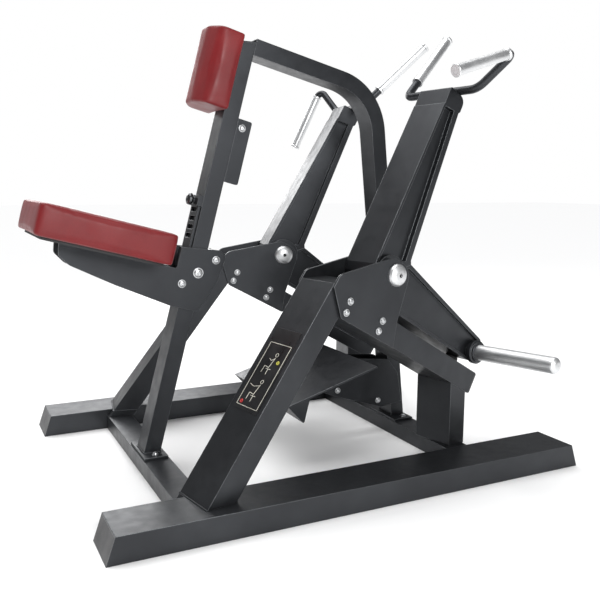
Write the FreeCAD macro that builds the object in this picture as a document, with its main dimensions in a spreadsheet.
import FreeCAD, Part
import math
import os
from FreeCAD import Placement, Rotation, Vector

# Plate-loaded seated row machine: a base of two rails, a leaning mast with a chest pad and a
# sliding seat, a bent spine tube behind it, and two toed-in side frames that each carry a
# hinged lever arm with grips at the top and a weight horn at the bottom.
# +X runs from the seat to the weights, +Y to the sitter's left, +Z up, in millimetres.
# A side frame is drawn in its own upright plane: "along" it (local X), "out" of it (local Y).

doc = FreeCAD.newDocument("RowMachine")
sheet = doc.addObject("Spreadsheet::Sheet", "sizes")

driving = {
    "origin_x": 694.70, "toe_in": 10.7, "tube_wall": 3.0, "plate_thick": 8.0,
    "rail_length": 1470.0, "rail_height": 70.0, "rail_width": 147.0, "rail_outer": 572.5,
    "rail_bevel": 24.0, "rail_cap": 4.0,
    "beam_depth": 80.0, "beam_height": 50.0, "front_beam_x": 216.0, "rear_beam_x": 1107.0,
    "mast_lean": 14.7, "mast_front_x": 214.0, "mast_depth": 50.0, "mast_width": 80.0,
    "mast_top": 1292.0, "flange_thick": 8.0, "flange_span": 170.0,
    "spine_lean": 6.0, "spine_drop": 13.7, "spine_corner_x": 1054.5, "spine_corner_z": 1196.5,
    "spine_bend": 205.0,
    "leg_inner": 429.0, "leg_outer": 573.0, "leg_lean": 36.5, "leg_foot": 103.5,
    "leg_depth": 69.0, "leg_top": 610.0,
    "pivot_along": 778.0, "pivot_z": 617.0, "shaft_radius": 17.5, "cap_radius": 33.0,
    "rear_tube_depth": 70.0, "rear_beam_slope": 29.5, "buffer_tall": 25.3, "post_depth": 68.0, "post_along": 1036.0,
    "arm_inner": 432.0, "arm_outer": 570.0, "arm_side": 556.0, "arm_recess": 16.0,
    "arm_plate": 10.0, "lever_recess": 9.0, "arm_flange": 22.0, "arm_top_z": 1160.0, "arm_head_tilt": 27.5,
    "hub_radius": 56.0, "bush_radius": 28.0, "running_gap": 0.05,
    "grip_bar_radius": 12.5, "grip_radius": 15.5, "bar_along": 1046.0, "bar_z": 1150.0,
    "horn_radius": 25.0, "horn_length": 272.0, "horn_tilt": 2.5, "collar_radius": 38.0,
    "seat_width": 392.0, "seat_length": 383.0, "seat_thick": 89.0, "seat_board": 8.0,
    "seat_front": 473.0, "seat_base": 634.0, "board_inset": 24.0,
    "pad_width": 174.0, "pad_base": 1124.0, "pad_height": 230.0, "pad_thick": 92.0, "pad_board": 12.0,
    "carriage_gap": 2.0, "carriage_thick": 6.0, "rack_pitch": 27.0, "rack_thick": 8.0, "rack_gap": 0.6,
    "rack_width": 68.0, "pin_height": 847.0, "pin_radius": 5.0, "knob_radius": 18.0,
    "bolt_radius": 8.5,
}
for row, (alias, value) in enumerate(driving.items(), start=1):
    sheet.set("A%d" % row, alias)
    sheet.set("B%d" % row, str(value))
    sheet.setAlias("B%d" % row, alias)
doc.recompute()


def size(alias):
    """A driving dimension, read back from the sheet."""
    return float(sheet.get(alias))


def tan(angle):
    return math.tan(math.radians(angle))


def sin(angle):
    return math.sin(math.radians(angle))


def cos(angle):
    return math.cos(math.radians(angle))


nodes = []
X, Y, Z = Vector(1, 0, 0), Vector(0, 1, 0), Vector(0, 0, 1)

# where each frame of reference stands: the origin is under the machine's middle, the side
# frames toe in, and mast axes have X square off the mast's front face and Z up the mast
frames = {
    "base": "placement(vector(-sizes.origin_x; 0; 0); rotation(vector(0; 0; 1); 0))",
    "right": "placement(vector(-sizes.origin_x; 0; 0); rotation(vector(0; 0; 1); sizes.toe_in))",
    "left": "placement(vector(-sizes.origin_x; 0; 0); rotation(vector(0; 0; 1); -sizes.toe_in))",
    "mast": "placement(vector(sizes.mast_front_x - sizes.origin_x; 0; 0);"
            " rotation(vector(0; 1; 0); sizes.mast_lean))",
}


def place(part, where="base"):
    """Bind a part's placement to its frame of reference, keeping its own place in it."""
    base, turn = part.Placement.Base, part.Placement.Rotation
    numbers = tuple(base) + tuple(turn.Axis) + (math.degrees(turn.Angle),)
    own = "placement(vector(%.9f; %.9f; %.9f); rotation(vector(%.12f; %.12f; %.12f); %.12f))" % numbers
    part.setExpression("Placement", frames[where] + " * " + own)
    return part


def keep(part, label, where="base"):
    """Name a finished sub-part, put it in its place and list it for export."""
    part.Label = label
    nodes.append(place(part, where))


def keep_group(label, pieces):
    """Separate solids of one sub-part, each already in its place."""
    bunch = group("set_of_" + label, pieces)
    bunch.Label = label
    nodes.append(bunch)


def edges(corners):
    """Lines of a closed outline; a corner (x, z, r) is rounded to the radius r."""
    count = len(corners)
    cuts = []
    for i, corner in enumerate(corners):
        here = Vector(corner[0], corner[1], 0)
        radius = corner[2] if len(corner) > 2 else 0
        back = Vector(*corners[i - 1][:2], 0) - here
        ahead = Vector(*corners[(i + 1) % count][:2], 0) - here
        if not radius:
            cuts.append((here, here, None))
            continue
        half = back.getAngle(ahead) / 2
        reach = radius / math.tan(half)
        start = here + back.normalize() * reach
        end = here + ahead.normalize() * reach
        centre = here + (back + ahead).normalize() * (radius / math.sin(half))
        middle = centre + (here - centre).normalize() * radius
        cuts.append((start, end, middle))
    lines = []
    for i, (start, end, middle) in enumerate(cuts):
        if middle is not None:
            lines.append(Part.Arc(start, middle, end))
        following = cuts[(i + 1) % count][0]
        if (following - end).Length > 1e-6:
            lines.append(Part.LineSegment(end, following))
    return lines


def role_plane(body, role):
    return next(f for f in body.Origin.OriginFeatures if f.Role == role)


def sketch_on(body, outlines, plane="XZ_Plane", level=0.0):
    """A sketch of closed outlines; on the XZ plane, level is its Y."""
    sketch = body.newObject("Sketcher::SketchObject", "outline")
    sketch.AttachmentSupport = [(role_plane(body, plane), "")]
    sketch.MapMode = "FlatFace"
    sketch.AttachmentOffset = Placement(Vector(0, 0, -level), Rotation())
    for outline in outlines:
        sketch.addGeometry(outline, False)
    return sketch


def slab(name, corners, low, high, holes=(), width=None):
    """A plate drawn in XZ that fills Y from low to high; holes are (x, z, radius)."""
    body = doc.addObject("PartDesign::Body", name)
    rings = [[Part.Circle(Vector(x, z, 0), Z, radius)] for x, z, radius in holes]
    pad = body.newObject("PartDesign::Pad", "pad")
    pad.Profile = sketch_on(body, [edges(corners)] + rings, level=high)
    pad.Length = high - low
    if width:
        pad.setExpression("Length", width)
    return body


def between(out_low, out_high, side):
    """The Y limits of a stretch measured outward on either side of the machine."""
    return sorted((side * out_low, side * out_high))


def tube(name, corners, hollow, low, high, width):
    """A welded tube: an outline in XZ, less the hollow outline that stops a wall short in Y."""
    wall = size("tube_wall")
    outer = slab(name + "_outside", corners, low, high, width=width)
    inner = slab(name + "_hollow", hollow, low + wall, high - wall, width=width + " - 2 * sizes.tube_wall")
    return cut(name, outer, inner)


def slanted(name, foot, top, depth, low, high, width, cap=0.0):
    """A tube of level-cut ends from foot to top, both (x, z) on its front face; cap closes the top."""
    wall, over = size("tube_wall"), 40.0
    run, rise = top[0] - foot[0], top[1] - foot[1]
    length = math.hypot(run, rise)
    broad = abs(depth * length / rise)
    skin = abs(wall * length / rise)
    far_foot = (foot[0] - run * over / rise, foot[1] - over)
    beyond = -cap if cap else over
    far_top = (top[0] + run * beyond / rise, top[1] + beyond)
    outline = [foot, (foot[0] + broad, foot[1]), (top[0] + broad, top[1]), top]
    hollow = [(far_foot[0] + skin, far_foot[1]), (far_foot[0] + broad - skin, far_foot[1]),
              (far_top[0] + broad - skin, far_top[1]), (far_top[0] + skin, far_top[1])]
    return tube(name, outline, hollow, low, high, width)


def turned(name, profile, base=Vector(), axis=Z):
    """A lathe piece: profile corners are (radius, height), turned about the axis from base."""
    body = doc.addObject("PartDesign::Body", name)
    spin = body.newObject("PartDesign::Revolution", "spin")
    sketch = sketch_on(body, [edges(profile)])
    spin.Profile = sketch
    spin.ReferenceAxis = (sketch, ["V_Axis"])
    spin.Angle = 360.0
    body.Placement = Placement(base, Rotation(Z, axis))
    return body


def group(name, pieces):
    """Identical pieces kept as separate solids of one sub-part."""
    compound = doc.addObject("Part::Compound", name)
    compound.Links = pieces
    return compound


def fuse(name, pieces):
    union = doc.addObject("Part::MultiFuse", name)
    union.Shapes = pieces
    return union


def cut(name, base, tool):
    difference = doc.addObject("Part::Cut", name)
    difference.Base, difference.Tool = base, tool
    return difference


def cylinder(name, radius, length, base, axis):
    rod = doc.addObject("Part::Cylinder", name)
    rod.Radius, rod.Height = radius, length
    rod.Placement = Placement(base, Rotation(Z, axis))
    return rod


def box(name, low, high):
    block = doc.addObject("Part::Box", name)
    block.Length, block.Width, block.Height = (b - a for a, b in zip(low, high))
    block.Placement = Placement(Vector(*low), Rotation())
    return block


def bolt(name, base, axis, head=None):
    """A button-head bolt on its washer; the base is the centre of the face it clamps."""
    r = head or size("bolt_radius")
    profile = [(0, 0), (r * 1.25, 0), (r * 1.25, 2), (r, 2), (r, 4), (r * 0.8, 7.5, 1.5),
               (r * 0.42, 8.5), (r * 0.42, 4.5), (0, 4.5)]
    return turned(name, profile, base, axis)


def bar(name, route, radii, radius, bore=0.0):
    """A round tube swept along straight runs joined by tangent arcs of the given radii."""
    points = [Vector(*p) for p in route]
    lines, start = [], points[0]
    for before, corner, after, bend in zip(points, points[1:], points[2:], radii):
        back, ahead = before - corner, after - corner
        half = back.getAngle(ahead) / 2
        reach = bend / math.tan(half)
        first = corner + back.normalize() * reach
        last = corner + ahead.normalize() * reach
        centre = corner + (back + ahead).normalize() * (bend / math.sin(half))
        middle = centre + (corner - centre).normalize() * bend
        lines += [Part.LineSegment(start, first).toShape(), Part.Arc(first, middle, last).toShape()]
        start = last
    lines.append(Part.LineSegment(start, points[-1]).toShape())
    path = Part.Wire(lines)
    direction = points[1] - points[0]
    discs = [Part.Wire([Part.makeCircle(r, points[0], direction)]) for r in (radius, bore) if r]
    shell = path.makePipeShell([discs[0]], True, True)
    if bore:
        shell = shell.cut(path.makePipeShell([discs[1]], True, True))
    feature = doc.addObject("Part::Feature", name)
    feature.Shape = shell
    return feature


# ---- base: two rails and two crossbeams -------------------------------------------------

def rails():
    length, height, bevel = size("rail_length"), size("rail_height"), size("rail_bevel")
    wall, cap = size("tube_wall"), size("rail_cap")
    inner = size("rail_outer") - size("rail_width")
    caps = []
    slope = bevel / height
    for side, hand in ((-1, "right"), (1, "left")):
        low, high = between(inner, size("rail_outer"), side)
        outline = [(0, 0), (length, 0), (length - bevel, height), (bevel, height)]
        hollow = [(-40, wall), (length + 40, wall), (length + 40, height - wall), (-40, height - wall)]
        keep(tube("rail_" + hand, outline, hollow, low, high, "sizes.rail_width"), "base_rail_" + hand)
        for end, way in ((0, 1), (length, -1)):
            face = [(end + way * slope * z, z) for z in (wall, height - wall)]
            back = [(x + way * cap, z) for x, z in reversed(face)]
            caps.append(place(slab("rail_cap", face + back, low + wall, high - wall,
                                   width="sizes.rail_width - 2 * sizes.tube_wall")))
    keep_group("rail_end_plates", caps)
    for name, front in (("front", size("front_beam_x")), ("rear", size("rear_beam_x"))):
        outer = box(name + "_beam_outside", (front, -inner, 0),
                    (front + size("beam_depth"), inner, size("beam_height")))
        outer.setExpression("Length", "sizes.beam_depth")
        outer.setExpression("Width", "2 * (sizes.rail_outer - sizes.rail_width)")
        outer.setExpression("Height", "sizes.beam_height")
        core = box(name + "_beam_hollow", (front + wall, -inner - 9, wall),
                   (front + size("beam_depth") - wall, inner + 9, size("beam_height") - wall))
        keep(cut(name + "_beam", outer, core), name + "_crossbeam")


# ---- mast and spine -----------------------------------------------------------------------

def mast_point(height):
    """The point (x, z) on the mast's front face at a height."""
    return size("mast_front_x") + height * tan(size("mast_lean")), height


def foot_flange(name, front, depth, base):
    half, thick = size("flange_span") / 2, size("flange_thick")
    flange = box(name, (front, -half, base), (front + depth, half, base + thick))
    flange.setExpression("Width", "sizes.flange_span")
    flange.setExpression("Height", "sizes.flange_thick")
    return flange


def mast():
    half = size("mast_width") / 2
    base = size("beam_height") + size("flange_thick")
    foot, top = mast_point(base), mast_point(size("mast_top"))
    keep(slanted("mast_tube", foot, top, size("mast_depth"), -half, half, "sizes.mast_width"), "mast")
    keep(foot_flange("mast_flange", size("front_beam_x") + 4, 72, size("beam_height")),
         "mast_foot_flange")
    wide = size("mast_depth") / cos(size("mast_lean"))
    thick = 4.0
    shift = thick * tan(size("mast_lean"))
    cap = [(top[0], top[1]), (top[0] + wide, top[1]), (top[0] + wide + shift, top[1] + thick),
           (top[0] + shift, top[1] + thick)]
    keep(slab("mast_plug", cap, -half, half, width="sizes.mast_width"), "mast_top_plug")


def spine_line(shift):
    """The spine's corner, and its two ends, with the outline moved inward by shift."""
    lean, drop = size("spine_lean"), size("spine_drop")
    corner = Vector(size("spine_corner_x"), 0, size("spine_corner_z"))
    inward_top = Vector(-sin(drop), 0, -cos(drop)) * shift
    inward_back = Vector(-cos(lean), 0, -sin(lean)) * shift
    along = Vector(-cos(drop), 0, sin(drop))
    down = Vector(sin(lean), 0, -cos(lean))
    # corner of the moved lines: corner + inward_top + t * along lies on the back line
    gap = inward_back - inward_top
    t = (gap.x * down.z - gap.z * down.x) / (along.x * down.z - along.z * down.x)
    moved = corner + inward_top + along * t
    front = size("mast_front_x") + size("mast_depth") / cos(size("mast_lean"))
    lean_mast = tan(size("mast_lean"))
    u = (moved.x - front - moved.z * lean_mast) / (cos(drop) + sin(drop) * lean_mast)
    base = size("beam_height") + size("flange_thick")
    return moved, moved + along * u, moved + down * ((moved.z - base) / cos(lean)), along, down


def spine():
    half, depth, wall = size("mast_width") / 2, size("mast_depth"), size("tube_wall")
    bend = size("spine_bend")

    def outline(near, far, reach):
        corner_a, seam_a, foot_a, along, down = spine_line(near)
        corner_b, seam_b, foot_b = spine_line(far)[:3]
        points = [seam_a + along * reach, (corner_a, bend - near), foot_a + down * reach,
                  foot_b + down * reach, (corner_b, bend - far), seam_b + along * reach]
        return [(p[0].x, p[0].z, p[1]) if isinstance(p, tuple) else (p.x, p.z) for p in points]

    keep(tube("spine_bent_tube", outline(0, depth, 0), outline(wall, depth - wall, 30), -half, half,
              "sizes.mast_width"), "spine_tube")
    keep(foot_flange("spine_flange", size("rear_beam_x") + 2, 74, size("beam_height")),
         "spine_foot_flange")


# ---- side frames ---------------------------------------------------------------------------

def leg_front(z):
    return size("leg_foot") + z * tan(size("leg_lean"))


def leg(side, hand):
    """The leg stands on the rail with a heel that reaches inboard down to the crossbeam."""
    low, high = between(size("leg_inner"), size("leg_outer"), side)
    foot, top = (leg_front(0), 0), (leg_front(size("leg_top")), size("leg_top"))
    return slanted("leg_tube_" + hand, foot, top, size("leg_depth"), low, high,
                   "sizes.leg_outer - sizes.leg_inner", cap=4.0)


def ground_cut(name, side):
    """What the rail and the front crossbeam take away from a leg's foot, in the leg's frame."""
    turn = Placement(Vector(), Rotation(Z, side * size("toe_in")))
    inner = size("rail_outer") - size("rail_width")
    blocks = []
    for label, near, far, height in (("rail", inner, 900, size("rail_height")),
                                     ("inboard", 0, inner, size("beam_height"))):
        y_low, y_high = between(near, far, side)
        block = box("%s_%s" % (name, label), (-400, y_low, -60), (900, y_high, height))
        block.Placement = turn * block.Placement
        blocks.append(block)
    return fuse(name, blocks)


def plates(side, hand):
    """Outer and inner pivot plates that clamp leg and rear beam and carry the arm's shaft."""
    thick, pivot_x, pivot_z = size("plate_thick"), size("pivot_along"), size("pivot_z")
    front = [(548, 600), (570, 632, 28), (770, 668, 50), (838, 630, 45), (786, 484), (771, 405),
             (574, 512)]
    holes = [(pivot_x, pivot_z, size("shaft_radius"))]
    for label, face in (("outer", size("leg_outer")), ("inner", size("leg_inner") - thick)):
        low, high = between(face, face + thick, side)
        keep(slab("%s_plate_%s" % (label, hand), front, low, high, holes, "sizes.plate_thick"),
             "pivot_plate_%s_%s" % (label, hand), hand)


def plate_bolts():
    """Four bolts through each plate: two into the leg, two into the rear beam."""
    spots = ((605, 557), (591, 527), (727, 490), (712, 462))
    thick = size("plate_thick")
    bolts = []
    for side, hand in ((-1, "right"), (1, "left")):
        for face, way in ((size("leg_outer") + thick, 1), (size("leg_inner") - thick, -1)):
            for x, z in spots:
                one = bolt("plate_bolt", Vector(x, side * face, z), Vector(0, side * way, 0))
                bolts.append(place(one, hand))
    keep_group("pivot_plate_bolts", bolts)


def rear_frame(side, hand):
    """The sloping rear beam behind the leg and the post that stands it on the rear crossbeam."""
    low, high = between(size("leg_inner"), size("leg_outer"), side)
    depth, wall = size("rear_tube_depth"), size("tube_wall")
    start, end = Vector(600, 0, 585), Vector(1152, 0, 273)
    along = (end - start).normalize()
    drop = Vector(along.z, 0, -along.x)
    post_front = size("post_along")
    post_back = post_front + size("post_depth")

    def ring(inset, reach):
        a, b = start + drop * inset - along * reach, end + drop * inset + along * reach
        c, d = end + drop * (depth - inset) + along * reach, start + drop * (depth - inset) - along * reach
        return [(p.x, p.z) for p in (a, b, c, d)]

    width = "sizes.leg_outer - sizes.leg_inner"
    beam = tube("rear_tube_" + hand, ring(0, 0), ring(wall, 40), low, high, width)
    keep(cut("rear_beam_trim_" + hand, beam, leg_block(side, hand)), "rear_beam_" + hand, hand)
    under = [(x, start.z + drop.z * depth + (x - start.x - drop.x * depth) * along.z / along.x)
             for x in (post_front, post_back)]
    base = size("beam_height")
    outline = [(post_front, base), (post_back, base), under[1], under[0]]
    hollow = [(post_front + wall, base - 40), (post_back - wall, base - 40),
              (post_back - wall, under[1][1] + 40), (post_front + wall, under[0][1] + 40)]
    keep(tube("post_" + hand, outline, hollow, low, high, width), "rear_post_" + hand, hand)
    cap = [ring(wall, 0)[1], ring(wall, 4)[1], ring(wall, 4)[2], ring(wall, 0)[2]]
    return slab("beam_cap_" + hand, cap, low, high)


def leg_block(side, hand):
    """The leg's outline as a solid, wide enough to trim what butts against its rear face."""
    low, high = between(size("leg_inner") - 5, size("leg_outer") + 5, side)
    broad = size("leg_depth") / cos(size("leg_lean"))
    feet, top = leg_front(0), leg_front(900)
    outline = [(feet - 300, 0), (feet + broad, 0), (top + broad, 900), (top - 300, 900)]
    return slab("leg_block_" + hand, outline, low, high)


def side_frames():
    caps = []
    for side, hand in ((-1, "right"), (1, "left")):
        standing = cut("leg_trim_" + hand, leg(side, hand), ground_cut("ground_" + hand, side))
        keep(standing, "leg_" + hand, hand)
        plates(side, hand)
        caps.append(place(rear_frame(side, hand), hand))
    plate_bolts()
    keep_group("rear_beam_end_caps", caps)


# ---- pivots --------------------------------------------------------------------------------

def pivots():
    """Fixed shafts through both plates, with a domed cap screwed on each end."""
    thick, x, z = size("plate_thick"), size("pivot_along"), size("pivot_z")
    inner, outer = size("leg_inner") - thick, size("leg_outer") + thick
    caps, shafts = [], []
    r = size("cap_radius")
    profile = [(0, 0), (r, 0), (r, 5), (r * 0.86, 13, 12), (r * 0.5, 18, 20), (6, 19), (6, 13),
               (0, 13)]
    for side, hand in ((-1, "right"), (1, "left")):
        shaft = cylinder("shaft_" + hand, size("shaft_radius"), outer - inner,
                         Vector(x, side * inner, z), Vector(0, side, 0))
        shaft.setExpression("Radius", "sizes.shaft_radius")
        shaft.setExpression("Height", "sizes.leg_outer - sizes.leg_inner + 2 * sizes.plate_thick")
        shafts.append(place(shaft, hand))
        for face, way in ((outer, side), (inner, -side)):
            cap = turned("pivot_cap", profile, Vector(x, side * face, z), Vector(0, way, 0))
            caps.append(place(cap, hand))
    keep_group("pivot_shafts", shafts)
    keep_group("pivot_caps", caps)


# ---- lever arms ----------------------------------------------------------------------------

def arm_front(z):
    return 697.8 + 0.573 * (z - size("pivot_z"))


def arm_rear(z):
    return 845.3 + 0.423 * (z - size("pivot_z"))


def hub_solid(name, side):
    """A long cylinder on the pivot's line, the size of the hub."""
    rod = cylinder(name, size("hub_radius"), 500, Vector(size("pivot_along"), side * 300, size("pivot_z")),
                   Vector(0, side, 0))
    rod.setExpression("Radius", "sizes.hub_radius")
    return rod


def seam():
    """The line of corners along which the two levers meet, through the pivot."""
    return [(861, 640), (size("pivot_along"), size("pivot_z")), (741, 584)]


def arm(side, hand):
    """Upper lever: its side walls lie recessed between a front plate and a rear flange."""
    inner, outer = size("arm_inner"), size("arm_side")
    low, high = between(inner, outer, side)
    plate, flange, recess = size("arm_plate"), size("arm_flange"), size("arm_recess")
    top, neck, foot, tilt = size("arm_top_z"), 1112.0, 652.0, size("arm_head_tilt")
    rise = Vector(sin(tilt), 0, cos(tilt))
    nose = Vector(arm_front(top), 0, top)
    tail = nose + Vector(cos(tilt), 0, -sin(tilt)) * 70
    chin, nape = nose - rise * 62, tail - rise * 50
    head = [(nose.x, nose.z, 5), (tail.x, tail.z, 24), (nape.x, nape.z, 10), (chin.x, chin.z)]
    skin = [(arm_front(neck), neck), (arm_front(neck) + plate, neck), (arm_front(foot) + plate, foot),
            (arm_front(foot), foot)]
    rear = [(arm_rear(neck) - flange, neck), (arm_rear(neck), neck), (arm_rear(foot), foot),
            (arm_rear(foot) - flange, foot)]
    web = [(arm_front(neck) + 3, neck), (arm_rear(neck) - 3, neck), (arm_rear(foot) - 3, foot),
           (arm_front(foot) + 3, foot)]
    heel = [(arm_front(foot), foot), (arm_rear(foot), foot)] + seam() + [(712, 622, 16)]
    width = "sizes.arm_side - sizes.arm_inner"
    web_low, web_high = between(inner + recess, outer - recess, side)
    wall = size("tube_wall")
    outside = slab("arm_web_outside_" + hand, web, web_low, web_high,
                   width=width + " - 2 * sizes.arm_recess")
    inside = slab("arm_web_inside_" + hand, web, web_low + wall, web_high - wall,
                  width=width + " - 2 * sizes.arm_recess - 2 * sizes.tube_wall")
    pieces = [slab("arm_%s_%s" % (label, hand), outline, low, high, width=width)
              for label, outline in (("head", head), ("skin", skin), ("flange", rear), ("heel", heel))]
    pieces.append(cut("arm_web_" + hand, outside, inside))
    bar_bore = cylinder("arm_bar_bore_" + hand, size("grip_bar_radius") + size("running_gap"), 500,
                        Vector(size("bar_along"), side * 300, size("bar_z")), Vector(0, side, 0))
    hub_bore = hub_solid("arm_hub_bore_" + hand, side)
    bores = fuse("arm_bores_" + hand, [hub_bore, bar_bore])
    keep(cut("arm_bored_" + hand, fuse("arm_solid_" + hand, pieces), bores), "lever_arm_" + hand, hand)


def hub(side, hand):
    """Hub tube between the two levers, and the bearing sleeve that runs on the fixed shaft."""
    inner, outer = size("arm_inner"), size("arm_side")
    rim, bush = size("hub_radius"), size("bush_radius")
    seat = Vector(size("pivot_along"), side * inner, size("pivot_z"))
    out = Vector(0, side, 0)
    span = outer - inner
    keep(turned("hub_" + hand, [(bush, 0), (rim, 0), (rim, span), (bush, span)], seat, out),
         "lever_hub_" + hand, hand)
    reach = size("arm_outer") - inner
    bore = size("shaft_radius") + size("running_gap")
    keep(turned("bush_" + hand, [(bore, 0), (bush, 0), (bush, reach), (bore, reach)], seat, out),
         "pivot_bush_" + hand, hand)


def lever_inside():
    """Outline of the hollow inside the lower lever's band."""
    return [(853, 630), (786, 608), (750, 580), (806, 512, 24), (1130, 325, 14), (1194, 309, 4), (1183, 369, 6)]


def lever_band(name, side):
    """The band alone, bent round the lever's tapered outline."""
    low, high = between(size("arm_inner"), size("arm_side"), side)
    outline = seam() + [(802, 502, 30), (1128, 316, 20), (1203, 300, 8), (1190, 376, 10)]
    width = "sizes.arm_side - sizes.arm_inner"
    return cut(name, slab(name + "_outline", outline, low, high, width=width),
               slab(name + "_hollow", lever_inside(), low, high, width=width))


def lower_lever(side, hand):
    """Lower lever: a band bent round a tapered outline, closed by two webs set in from its edges."""
    set_in, wall = size("lever_recess"), size("tube_wall")
    webs = [slab("lower_web_" + hand, lever_inside(), *between(at, at + wall, side), width="sizes.tube_wall")
            for at in (size("arm_inner") + set_in, size("arm_side") - set_in - wall)]
    pieces = [lever_band("lower_band_" + hand, side)] + webs
    keep(cut("lower_lever_bored_" + hand, fuse("lower_solid_" + hand, pieces),
             hub_solid("lower_hub_bore_" + hand, side)), "lower_lever_" + hand, hand)


def horn(side, hand):
    """Weight horn with its welded collar, tipped up a little so plates stay on."""
    tilt, r, rim = size("horn_tilt"), size("horn_radius"), size("collar_radius")
    axis = Vector(0, side * cos(tilt), sin(tilt))
    root = Vector(1158, side * size("arm_side"), 340)
    length, start = size("horn_length"), 24.0
    sunk, plug = size("lever_recess"), 28.0
    profile = [(0, -sunk - 3), (plug, -sunk - 3), (plug, 2), (rim, 2, 1), (rim, 15, 2), (rim - 6, 17),
               (rim - 6, start, 2), (0, start)]
    collar = turned("collar_" + hand, profile, root, axis)
    low, high = between(size("arm_side") - sunk - 20, size("arm_side") - sunk, side)
    inside = box("collar_trim_" + hand, (1100, low, 280), (1220, high, 400))
    seated = cut("collar_trimmed_" + hand, collar, inside)
    keep(cut("collar_seated_" + hand, seated, lever_band("collar_seat_" + hand, side)), "horn_collar_" + hand, hand)
    rod = [(0, start), (r, start), (r, start + length), (r * 0.97, start + length + 8, 8),
           (r * 0.6, start + length + 17, 14), (0, start + length + 18)]
    keep(turned("horn_rod_" + hand, rod, root, axis), "weight_horn_" + hand, hand)


def grip_profile(length):
    """A polished sleeve with a flange at its root and a closed end."""
    bore, r = size("grip_bar_radius") + 0.1, size("grip_radius")
    rim = r + 2.5
    return [(bore, 0), (rim, 0, 1), (rim, 7, 2), (r, 9), (r, length - 9), (rim, length - 7, 2), (rim, length, 2),
            (0, length), (0, length - 5), (bore, length - 5)]


def fixed_handle(side, hand):
    """A bar welded in the lever's head that elbows into an upright grip on the inner side."""
    x, z = size("bar_along"), size("bar_z")
    corner, free = Vector(x, side * 334, z), Vector(1262, side * 304, 1356)
    way = (free - corner).normalize()
    root = corner + way * 74
    bar_end = free - way * 6
    keep(bar("fixed_bar_" + hand, [(x, side * 488, z), tuple(corner), tuple(bar_end)], [26.0],
             size("grip_bar_radius")), "fixed_handle_bar_" + hand, hand)
    keep(turned("fixed_grip_" + hand, grip_profile((free - root).Length), root, way), "fixed_grip_" + hand, hand)


def swivel_handle(side, hand, drop):
    """A handle that turns in the lever's head on the outer side, hanging drop degrees down."""
    x, z = size("bar_along"), size("bar_z")
    centre = Vector(x, 0, z)
    turn = Placement(centre, Rotation(Y, -drop)) * Placement(-centre, Rotation())
    corner, free = Vector(1090, side * 716, 1247), Vector(846, side * 713, 1172)
    way = (free - corner).normalize()
    root = corner + way * 34
    rod = bar("swivel_bar_" + hand, [(x, side * 498, z), (x, side * 622, z), tuple(corner), tuple(free - way * 6)],
              [60.0, 20.0], size("grip_bar_radius"))
    rod.Placement = turn
    keep(rod, "swivel_handle_bar_" + hand, hand)
    grip = turned("swivel_grip_" + hand, grip_profile((free - root).Length), root, way)
    grip.Placement = turn * grip.Placement
    keep(grip, "swivel_grip_" + hand, hand)


def levers():
    drops = {"right": 0.0, "left": 48.0}
    for side, hand in ((-1, "right"), (1, "left")):
        arm(side, hand)
        hub(side, hand)
        lower_lever(side, hand)
        horn(side, hand)
        fixed_handle(side, hand)
        swivel_handle(side, hand, drops[hand])


def bumpers():
    """Rubber buffers on the rear beams, where the lower levers come to rest."""
    tall, tilt = size("buffer_tall"), size("rear_beam_slope")
    pads = []
    for side, hand in ((-1, "right"), (1, "left")):
        pad = turned("buffer", [(0, 0), (24, 0), (21, tall, 4), (0, tall)], Vector(1105, side * 500, 299.6),
                     Vector(sin(tilt), 0, cos(tilt)))
        pads.append(place(pad, hand))
    keep_group("lever_buffers", pads)


# ---- chest pad, seat and their carriage ----------------------------------------------------

def pad_panel(name, base, grow=0.0):
    """The board's box, against the mast and set in from the cushion's outline."""
    half, inset = size("pad_width") / 2, size("board_inset") - grow
    tall = size("pad_height")
    return box(name, (-size("pad_board") - grow, -half + inset, base + inset), (0, half - inset, base + tall - inset))


def chest_pad():
    """A board on the mast, and a cushion wrapped round it whose front is a shallow curve across."""
    half, base, back, corner = size("pad_width") / 2, size("pad_base"), 1.0, 26.0
    front = size("pad_board") + size("pad_thick")
    plan = [(-back, half, 5), (-back, -half, 5), (-front + corner, -half, corner), (-front, -half + 52, 90),
            (-front, half - 52, 90), (-front + corner, half, corner)]
    body = doc.addObject("PartDesign::Body", "chest_pad")
    pad = body.newObject("PartDesign::Pad", "pad")
    pad.Profile = sketch_on(body, [edges(plan)], plane="XY_Plane", level=-base)
    pad.setExpression("Length", "sizes.pad_height")
    keep(cut("pad_pocketed", body, pad_panel("pad_pocket", base, grow=0.2)), "chest_pad_cushion", "mast")
    board = pad_panel("pad_board", base)
    board.setExpression("Length", "sizes.pad_board")
    keep(board, "chest_pad_board", "mast")


def seat():
    half, front, long = size("seat_width") / 2, size("seat_front"), size("seat_length")
    base, board, inset = size("seat_base"), size("seat_board"), size("board_inset")
    panel = box("seat_panel", (-front + inset, -half + inset, base),
                (-front + long - inset, half - inset, base + board))
    panel.setExpression("Height", "sizes.seat_board")
    panel.setExpression("Width", "sizes.seat_width - 2 * sizes.board_inset")
    panel.setExpression("Length", "sizes.seat_length - 2 * sizes.board_inset")
    keep(panel, "seat_board", "mast")
    corner = 14
    plan = [(-front, -half, corner), (-front + long, -half, corner), (-front + long, half, corner),
            (-front, half, corner)]
    body = doc.addObject("PartDesign::Body", "seat_foam")
    pad = body.newObject("PartDesign::Pad", "pad")
    pad.Profile = sketch_on(body, [edges(plan)], plane="XY_Plane", level=-(base + board))
    pad.setExpression("Length", "sizes.seat_thick")
    keep(body, "seat_cushion", "mast")


def rack_face():
    """Front face of the slotted bar, which lies just off the mast."""
    return -size("rack_gap") - size("rack_thick")


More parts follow.
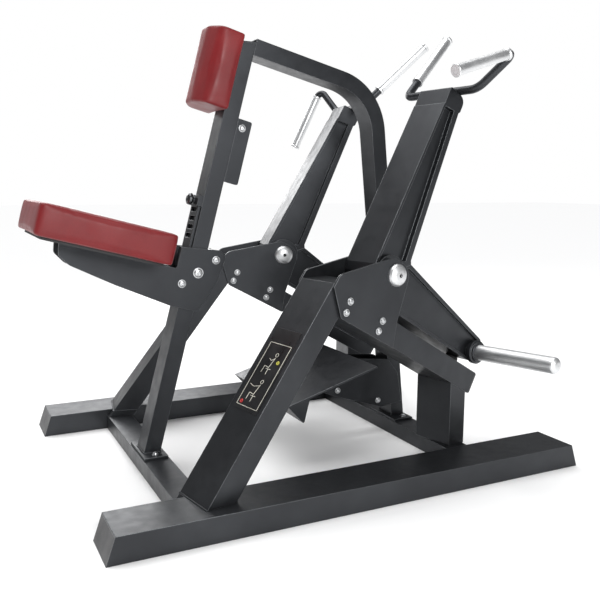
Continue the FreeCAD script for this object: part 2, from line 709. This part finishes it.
def carriage():
    """Two side plates that straddle the mast, hold the seat board and roll on rollers."""
    inside = size("mast_width") / 2 + size("carriage_gap")
    thick, base, depth = size("carriage_thick"), size("seat_base"), size("mast_depth")
    outline = [(-382, base), (-376, 598, 14), (-341, 576, 30), (-201, 547), (-31, 520), (60, 518, 14), (102, 622),
               (110, 706, 16), (88, 716, 10), (-34, 700), (-34, base)]
    pieces = [slab("carriage_side", outline, *between(inside, inside + thick, side),
                   width="sizes.carriage_thick") for side in (-1, 1)]
    face = rack_face() - thick
    pieces.append(box("carriage_cross_plate", (face, -inside, 640), (face + thick, inside, 700)))
    keep(fuse("carriage_weldment", pieces), "carriage_frame", "mast")
    roller, spacer, play = 30.0, 8.0, 0.4
    spots = ((depth + roller + play, 684, roller), (-spacer - play, 592, spacer), (-300, 600, spacer),
             (-160, 566, spacer))
    rods = []
    for x, z, radius in spots:
        rod = cylinder("roller", radius, 2 * inside, Vector(x, -inside, z), Y)
        rod.setExpression("Height", "sizes.mast_width + 2 * sizes.carriage_gap")
        rods.append(place(rod, "mast"))
    keep_group("carriage_rollers", rods)
    heads = []
    for x, z, radius in ((depth + roller + play, 684, 10.0), (-spacer - play, 592, 10.0), (34, 634, 13.0)):
        for side in (-1, 1):
            head = bolt("carriage_bolt", Vector(x, side * (inside + thick), z), Vector(0, side, 0), radius)
            heads.append(place(head, "mast"))
    keep_group("carriage_bolts", heads)


def slot_outline(half, middle, reach=7.0, corner=5.0):
    """Edges of a slot across the bar, half wide each way and reach tall each way."""
    low, high = middle - reach, middle + reach
    return edges([(-half, low, corner), (half, low, corner), (half, high, corner), (-half, high, corner)])


def rack_and_pin():
    """Slotted bar that rises from the carriage, and the spring pin on the mast that locks it."""
    half, thick, pitch = size("rack_width") / 2, size("rack_thick"), size("rack_pitch")
    height, neck, rim = size("pin_height"), size("pin_radius"), 8.0
    bar_low, bar_high = 646.0, height + 14
    body = doc.addObject("PartDesign::Body", "rack")
    pad = body.newObject("PartDesign::Pad", "pad")
    outline = edges([(-half, bar_low), (half, bar_low), (half, bar_high, 8), (-half, bar_high, 8)])
    slots = [slot_outline(half - rim, height - step * pitch) for step in range(5)]
    pad.Profile = sketch_on(body, [outline] + slots, plane="YZ_Plane", level=size("rack_gap") + thick)
    pad.setExpression("Length", "sizes.rack_thick")
    keep(body, "adjuster_rack", "mast")
    edge, leg, reach = size("mast_width") / 2, 4.0, 16.0
    bridge = [box("bridge_leg", (-12, min(side * edge, side * (edge - leg)), height - reach),
                  (0, max(side * edge, side * (edge - leg)), height + reach)) for side in (-1, 1)]
    bridge.append(box("bridge_plate", (-16, -edge, height - reach), (-12, edge, height + reach)))
    bridge.append(cylinder("bridge_neck", 11, 4, Vector(-20, 0, height), X))
    bore = cylinder("bridge_bore", neck + size("running_gap"), 60, Vector(-40, 0, height), X)
    keep(cut("bored_bridge", fuse("bridge", bridge), bore), "pin_housing", "mast")
    r = size("knob_radius")
    pin = [(0, 0), (neck, 0), (neck, 12), (r * 0.6, 12), (r, 15, 4), (r, 25, 6), (r * 0.5, 29, 5), (0, 29.5)]
    keep(turned("knob", pin, Vector(rack_face() - 1.1, 0, height), Vector(-1, 0, 0)), "pull_pin_knob", "mast")


def mast_tab():
    """Bracket plate welded along the mast's rear edge."""
    half, depth = size("mast_width") / 2, size("mast_depth")
    outline = [(depth, 922), (96, 922, 6), (96, 1118, 6), (depth, 1118)]
    keep(slab("tab", outline, -half, -half + size("plate_thick"), [(68, 1092, 6.0)], "sizes.plate_thick"),
         "mast_bracket_plate", "mast")


# ---- foot plate, placard and fasteners ------------------------------------------------------

def foot_plate():
    """A bent tread plate on two support plates that straddle the spine tube."""
    sheet_profile = [(628, 203), (945, 297), (947, 291), (646, 202), (686, 148), (681, 145)]
    fin = [(646, 202), (704, 219), (686, 148)]
    pieces = [slab("tread", sheet_profile, -220, 220), slab("fin_right", fin, -220, -214),
              slab("fin_left", fin, 214, 220)]
    keep(fuse("foot_plate_solid", pieces), "foot_plate")
    outline = [(745, 230.5), (930, 285.2), (1100, 268, 30), (1142, 215, 20), (1160, 110), (1075, 98),
               (880, 162), (800, 196)]
    half = size("mast_width") / 2
    supports = [place(slab("support", outline, *between(half, half + 6, side))) for side in (-1, 1)]
    keep_group("foot_plate_supports", supports)


def placard():
    """Instruction plate on the front face of the right leg."""
    skin, low, high = 1.6, 283.0, 481.0
    off = skin / cos(size("leg_lean"))
    outline = [(leg_front(low) - off, low), (leg_front(low), low), (leg_front(high), high),
               (leg_front(high) - off, high)]
    keep(slab("placard", outline, -557, -447), "placard_plate", "right")


def frame_bolts():
    """Fasteners of the feet, of the foot plate's supports and of the mast's bracket."""
    base = size("beam_height") + size("flange_thick")
    half = size("mast_width") / 2
    heads = []
    for side in (-1, 1):
        out = Vector(0, side, 0)
        heads += [place(bolt("foot_bolt", Vector(x, side * 62, base), Z)) for x in (258, 1158)]
        heads += [place(bolt("support_bolt", Vector(x, side * (half + 6), z), out, 8.0))
                  for x, z in ((899, 178), (1061, 124))]
    heads.append(place(bolt("bracket_bolt", Vector(68, -half, 1092), Vector(0, -1, 0), 9.0), "mast"))
    keep_group("frame_bolts", heads)


rails()
mast()
spine()
side_frames()
pivots()
levers()
bumpers()
chest_pad()
seat()
carriage()
rack_and_pin()
mast_tab()
foot_plate()
placard()
frame_bolts()
doc.recompute()

for thing in doc.Objects:
    if "Invalid" in thing.State or "Error" in thing.State:
        raise RuntimeError("%s did not build: %s" % (thing.Label, thing.State))
os.makedirs("parts", exist_ok=True)
for node in nodes:
    shape = node.Shape
    if shape.isNull() or not shape.isValid() or not shape.Solids:
        raise RuntimeError("%s has no valid solid" % node.Label)
    shape.exportStep("parts/%s.step" % node.Label)
print("%d sub-parts, %d solids" % (len(nodes), sum(len(n.Shape.Solids) for n in nodes)))
